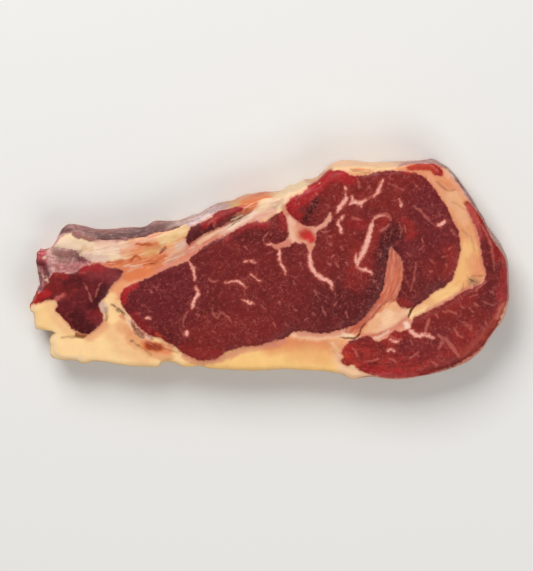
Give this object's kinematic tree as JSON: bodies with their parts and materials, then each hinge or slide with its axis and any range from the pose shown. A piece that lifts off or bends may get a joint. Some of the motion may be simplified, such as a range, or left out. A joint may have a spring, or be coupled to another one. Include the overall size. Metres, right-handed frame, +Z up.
{
  "type": "raw ribeye steak",
  "caption": "Long flat raw beef ribeye steak with a dark red eye, an outer crescent of lean, a thin rib end, a cream fat rim and marbling; food that lies flat on its cut face.",
  "frame": {"origin": "under the middle of the steak's box, on the surface that it lies on", "axes": "+X along the steak to its thick round end, +Y to the rib side, +Z up out of the cut face"},
  "size_m": [0.25, 0.1154, 0.027],
  "materials": {
    "raw_beef": "moist raw beef: dark red lean, cream to orange fat and pink-white marbling, with a wet sheen"
  },
  "bodies": {
    "root": {"steak": "raw_beef"}
  },
  "joints": []
}
